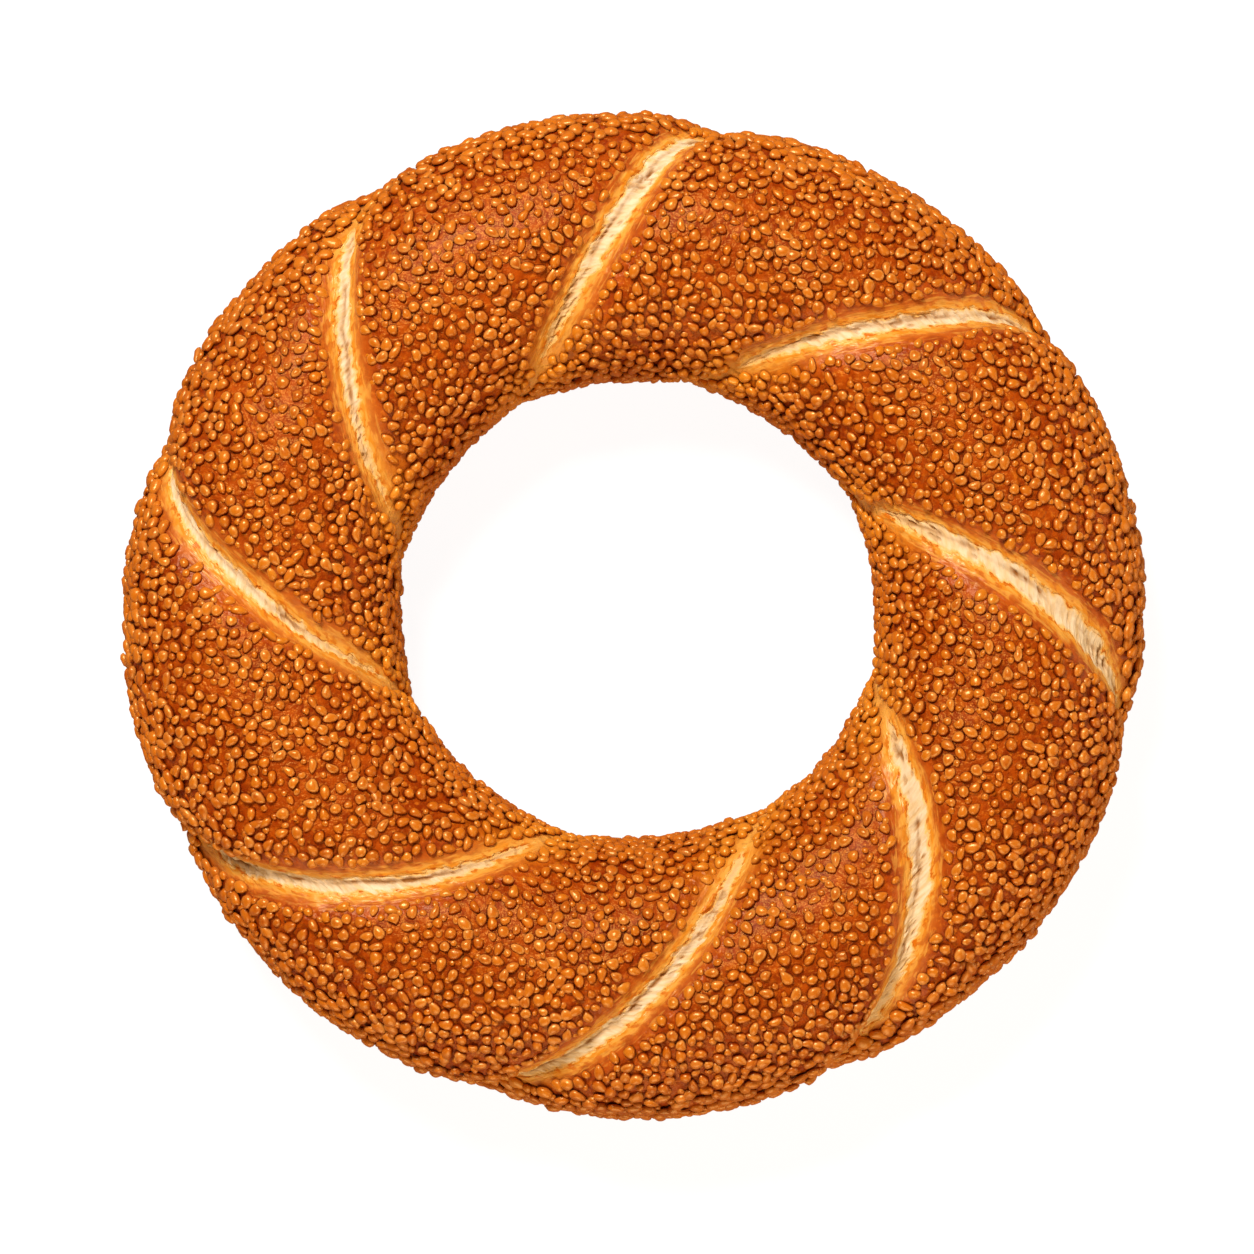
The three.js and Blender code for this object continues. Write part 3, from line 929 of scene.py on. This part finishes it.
def throwSeeds(draw):
    # even random places on the crust, kept where no earlier one is found too near
    count = scatter["candidates"]
    roll = rollForShare(draw.random(count))
    turn = 360 * draw.random(count)
    strand, share = strandAt(turn, roll)
    width = strandWidth(strand, roll)
    points = crustPoint(strand, share, roll)
    gapBefore, gapAfter = share * width, (1 - share) * width
    nearGroove = np.where(gapBefore < gapAfter, strand, strand + 1)
    gap = np.minimum(gapBefore, gapAfter)
    opening = grooveOpening(nearGroove, roll)
    bare = crumbGape(nearGroove, roll)
    margin = scatter["shutGap"] + scatter["seamGap"] * seamBand(nearGroove, roll)
    margin = margin + bare + scatter["crumbGap"] * smooth(0, 0.5, bare)
    margin = margin + opening * (scatter["openGap"] + scatter["openGapSpread"] * splitNoise(points, 3.1))
    outer, inner = besideTube(roll)
    side = np.maximum(outer, inner)
    under = smooth(205, 240, roll) + smooth(25, 55, -roll)
    spacing = scatter["spacing"] + (scatter["outerSpacing"] - scatter["spacing"]) * outer
    spacing = spacing + (scatter["innerSpacing"] - scatter["spacing"]) * inner
    spacing = spacing + (scatter["underSpacing"] - spacing) * np.clip(under, 0, 1)
    spacing = spacing * (1 + 0.2 * splitNoise(points + 7.7, 6.0))
    closerShare = scatter["closerShare"] * (1 - 0.4 * outer)
    spacing = spacing * np.where(draw.random(count) < closerShare, scatter["closer"], 1)
    size = 1 + (scatter["outerSize"] - 1) * outer + (scatter["innerSize"] - 1) * inner
    places = {
        "strand": strand,
        "share": share,
        "roll": roll,
        "side": side,
        "outer": outer,
        "inner": inner,
        "size": size,
        "opening": opening,
        "edge": gap - margin,
    }
    nearSplit = 0.6 * opening * np.exp(-np.maximum(gap - margin, 0) / 0.9)
    places["golden"] = np.maximum(goldenGlow(nearGroove, roll, gap), nearSplit)
    spacer = Spacer(scatter["searchBox"])
    kept, left = [], []
    for n in np.nonzero(gap > margin)[0]:
        (kept if spacer.tryPoint(points[n], spacing[n]) else left).append(n)
    bitSpacer = Spacer(scatter["searchBox"])
    bits = []
    for n in left:
        if draw.random() < scatter["bitsKept"] and spacer.tryPoint(points[n], scatter["bitSpacing"], False):
            if bitSpacer.tryPoint(points[n], scatter["bitSpacing"] * 1.5):
                bits.append(n)
    print("places for", len(kept), "seeds and", len(bits), "bits")
    return ({key: value[kept] for key, value in places.items()},
            {key: value[bits] for key, value in places.items()})


def turnedAxes(draw, along, outward, tilt, aligned):
    # random heading in the crust's plane, more along the ring where "aligned" is 1, then a
    # small random lean
    count = len(along)
    across = np.cross(outward, along)
    heading = draw.uniform(-np.pi, np.pi, count)
    heading = (heading * (1 - aligned) + draw.normal(0, 0.45, count) * aligned)[:, None]
    first = along * np.cos(heading) + across * np.sin(heading)
    leanAngle = np.radians(tilt * draw.normal(0, 0.5, count))[:, None]
    leanHeading = draw.uniform(0, 2 * np.pi, count)[:, None]
    leanAxis = along * np.cos(leanHeading) + across * np.sin(leanHeading)
    up = unit(outward * np.cos(leanAngle) + leanAxis * np.sin(leanAngle))
    first = unit(first - up * np.sum(first * up, axis=1, keepdims=True))
    return np.stack([first, np.cross(up, first), up], axis=-1)


def seedPoints(draw, points, mine, axes, centre, sizes):
    # one seed's points laid in many places, each bent and swollen a little differently
    local = points[None] * sizes[mine][:, None, :]
    local[:, :, 1] += draw.normal(0, seedForm["bend"], len(mine))[:, None] * local[:, :, 0] ** 2
    world = np.einsum("nij,nvj->nvi", axes[mine], local) + centre[mine][:, None, :]
    outwards = unit(world - centre[mine][:, None, :])
    uneven = splitNoise(world, seedForm["swellSize"])[..., None]
    world = world + outwards * seedForm["swell"] * uneven
    world[..., 2] = np.maximum(world[..., 2], scatter["floorGap"])
    return world


def layPieces(draw, name, kind, material, places, mine, axes, centre, sizes, toast):
    # seeds seen from above are rounder than those underneath
    low, high = seedForm["underRolls"]
    above = (places["roll"][mine] > low) & (places["roll"][mine] < high)
    points, faces, values = [], [], {"toast": [], "golden": [], "rim": [], "rimHighlight": []}
    start = 0
    for chosen, sides in ((mine[above], seedForm["topSides"]), (mine[~above], seedForm["underSides"])):
        shape, shapeFaces, rim = buildSeedShape(kind, kind.get("sides", sides))
        count, corners = len(chosen), len(shape)
        points.append(seedPoints(draw, shape, chosen, axes, centre, sizes).reshape(-1, 3))
        faces.append((shapeFaces[None] + (start + np.arange(count) * corners)[:, None, None]).reshape(-1, 3))
        values["toast"].append(np.repeat(toast[chosen], corners))
        values["golden"].append(np.repeat(places["golden"][chosen], corners))
        values["rimHighlight"].append(np.repeat(places["rimHighlight"][chosen], corners))
        # less painted shade on seeds at the sides of the tube
        rimShadeScale = 1 - seedLook["sideBright"] * places["side"][chosen]
        values["rim"].append((rimShadeScale[:, None] * rim).ravel())
        start += count * corners
    values = {title: np.concatenate(numbers) for title, numbers in values.items()}
    makeMesh(name, np.concatenate(points), np.concatenate(faces), material, values)


def makeSeeds(material):
    draw = np.random.default_rng(scatter["draw"])
    seeds, bits = throwSeeds(draw)
    for places, kinds in ((seeds, seedKinds), (bits, {"seed_bits": seedBits})):
        count = len(places["roll"])
        middle, along, outward = crustFrame(places["strand"], places["share"], places["roll"])
        lift = crustLumps(middle) + (scatter["bitLift"] if places is bits else scatter["lift"])
        lift = lift + scatter["liftSpread"] * draw.uniform(-1, 1, count)
        lift = lift + places["side"] * (scatter["sideLift"] + 0.2 * draw.uniform(-1, 1, count))
        # seeds at the edge of a bare shoulder are sunk in the glaze
        sunk = places["opening"] * np.exp(-np.maximum(places["edge"], 0) / 0.8)
        lift = lift - scatter["sink"] * sunk * draw.uniform(0.2, 1.0, count)
        centre = middle + outward * lift[:, None]
        tilt = scatter["tilt"] + (scatter["sideTilt"] - scatter["tilt"]) * places["side"]
        axes = turnedAxes(draw, along, outward, tilt, places["outer"])
        sizes = draw.normal(scatter["size"], scatter["sizeSpread"], (count, 3))
        sizes = sizes.clip(*scatter["sizeLimits"]) * places["size"][:, None]
        lower = (1 - scatter["outerHeight"]) * places["outer"]
        sizes[:, 2] *= 1 - lower - (1 - scatter["innerHeight"]) * places["inner"]
        places["rimHighlight"] = scatter["rimHighlight"] * draw.uniform(0, 1, count) ** 1.5
        toast = draw.normal(scatter["toast"], scatter["toastSpread"], count)
        toast = np.clip(toast + 0.3 * splitNoise(middle + 3.3, 13.0), 0, 1)
        shares = np.cumsum([kind["share"] for kind in kinds.values()])
        numbers = np.searchsorted(shares / shares[-1], draw.random(count))
        for number, (name, kind) in enumerate(kinds.items()):
            mine = np.nonzero(numbers == number)[0]
            layPieces(draw, name, kind, material, places, mine, axes, centre, sizes, toast)


stage = {
    "floor": 3.0,              # metres, each way
    "white": 0.15,             # kept low, because the glow makes it white
    "floorRough": 0.9,
    "floorGlow": 0.93,
    "world": 0.12,
    "worldTint": (1.0, 0.62, 0.28),
    "lightDistance": 1.0,      # metres
}
# watts, width in metres, turn and height in degrees
lights = {
    "key": {"power": 11.7, "size": 0.25, "turn": 113, "height": 55, "tint": (1, 1, 1)},
    "fill": {"power": 5.8, "size": 0.8, "turn": 268, "height": 20, "tint": (1.0, 0.85, 0.6)},
    "right": {"power": 3.4, "size": 0.8, "turn": 352, "height": 16, "tint": (1.0, 0.85, 0.6)},
    "overhead": {"power": 1.4, "size": 1.2, "turn": 298, "height": 80, "tint": (1.0, 0.62, 0.34)},
}
view = {
    "frameWidth": 1254,        # pixels across the frame
    "ringWidthPixels": 1024,   # the ring's widest line in it
    "ringWidth": 177.6,        # the same in mm
    "ringCentre": (633, 615),
    "lens": 130,               # mm, as the next
    "sensor": 36,
}


def makeFloor():
    half = stage["floor"] / 2
    mesh = bpy.data.meshes.new("floor")
    corners = [(-half, -half, 0), (half, -half, 0), (half, half, 0), (-half, half, 0)]
    mesh.from_pydata(corners, [], [(0, 1, 2, 3)])
    floor = bpy.data.objects.new("floor", mesh)
    bpy.context.scene.collection.objects.link(floor)
    material, tree, shader = newMaterial("paleFloor")
    shader.inputs["Base Color"].default_value = (stage["white"],) * 3 + (1,)
    shader.inputs["Roughness"].default_value = stage["floorRough"]
    shader.inputs["Emission Color"].default_value = (1, 1, 1, 1)
    shader.inputs["Emission Strength"].default_value = stage["floorGlow"]
    mesh.materials.append(material)
    floor.visible_glossy = False        # glaze at the sides keeps its own colour


def makeLights():
    world = bpy.data.worlds.new("studio")
    world.use_nodes = True
    world.node_tree.nodes["Background"].inputs["Color"].default_value = (*stage["worldTint"], 1)
    world.node_tree.nodes["Background"].inputs["Strength"].default_value = stage["world"]
    bpy.context.scene.world = world
    for name, look in lights.items():
        turn, height, reach = look["turn"], look["height"], stage["lightDistance"]
        light = bpy.data.lights.new(name, "AREA")
        light.energy = look["power"]
        light.size = look["size"]
        light.color = look["tint"]
        holder = bpy.data.objects.new(name, light)
        holder.location = (reach * cosine(height) * cosine(turn), reach * cosine(height) * sine(turn),
                           reach * sine(height))
        holder.rotation_euler = (math.radians(90 - height), 0, math.radians(turn + 90))
        bpy.context.scene.collection.objects.link(holder)


def makeCamera():
    perPixel = view["ringWidth"] / view["ringWidthPixels"] * mm
    frameWidth = view["frameWidth"] * perPixel
    camera = bpy.data.cameras.new("camera")
    camera.lens = view["lens"]
    camera.sensor_width = view["sensor"]
    holder = bpy.data.objects.new("camera", camera)
    distance = frameWidth * view["lens"] / view["sensor"]
    middle = view["frameWidth"] / 2
    across, down = view["ringCentre"]
    height = distance + ring["equator"] * mm
    holder.location = ((middle - across) * perPixel, (down - middle) * perPixel, height)
    bpy.context.scene.collection.objects.link(holder)
    bpy.context.scene.camera = holder
    bpy.context.scene.view_settings.view_transform = "Standard"


makeCamera()
makeFloor()
makeLights()
print("camera, floor and", len(lights), "lights set")
makeCrust(makeCrustMaterial())
splitMaterial = makeSplitMaterial()
for grooveNumber in range(grooveCount):
    makeSplit(grooveNumber, splitMaterial)
print("crust and splits done")
makeSeeds(makeSeedMaterial())
print("seeds done")
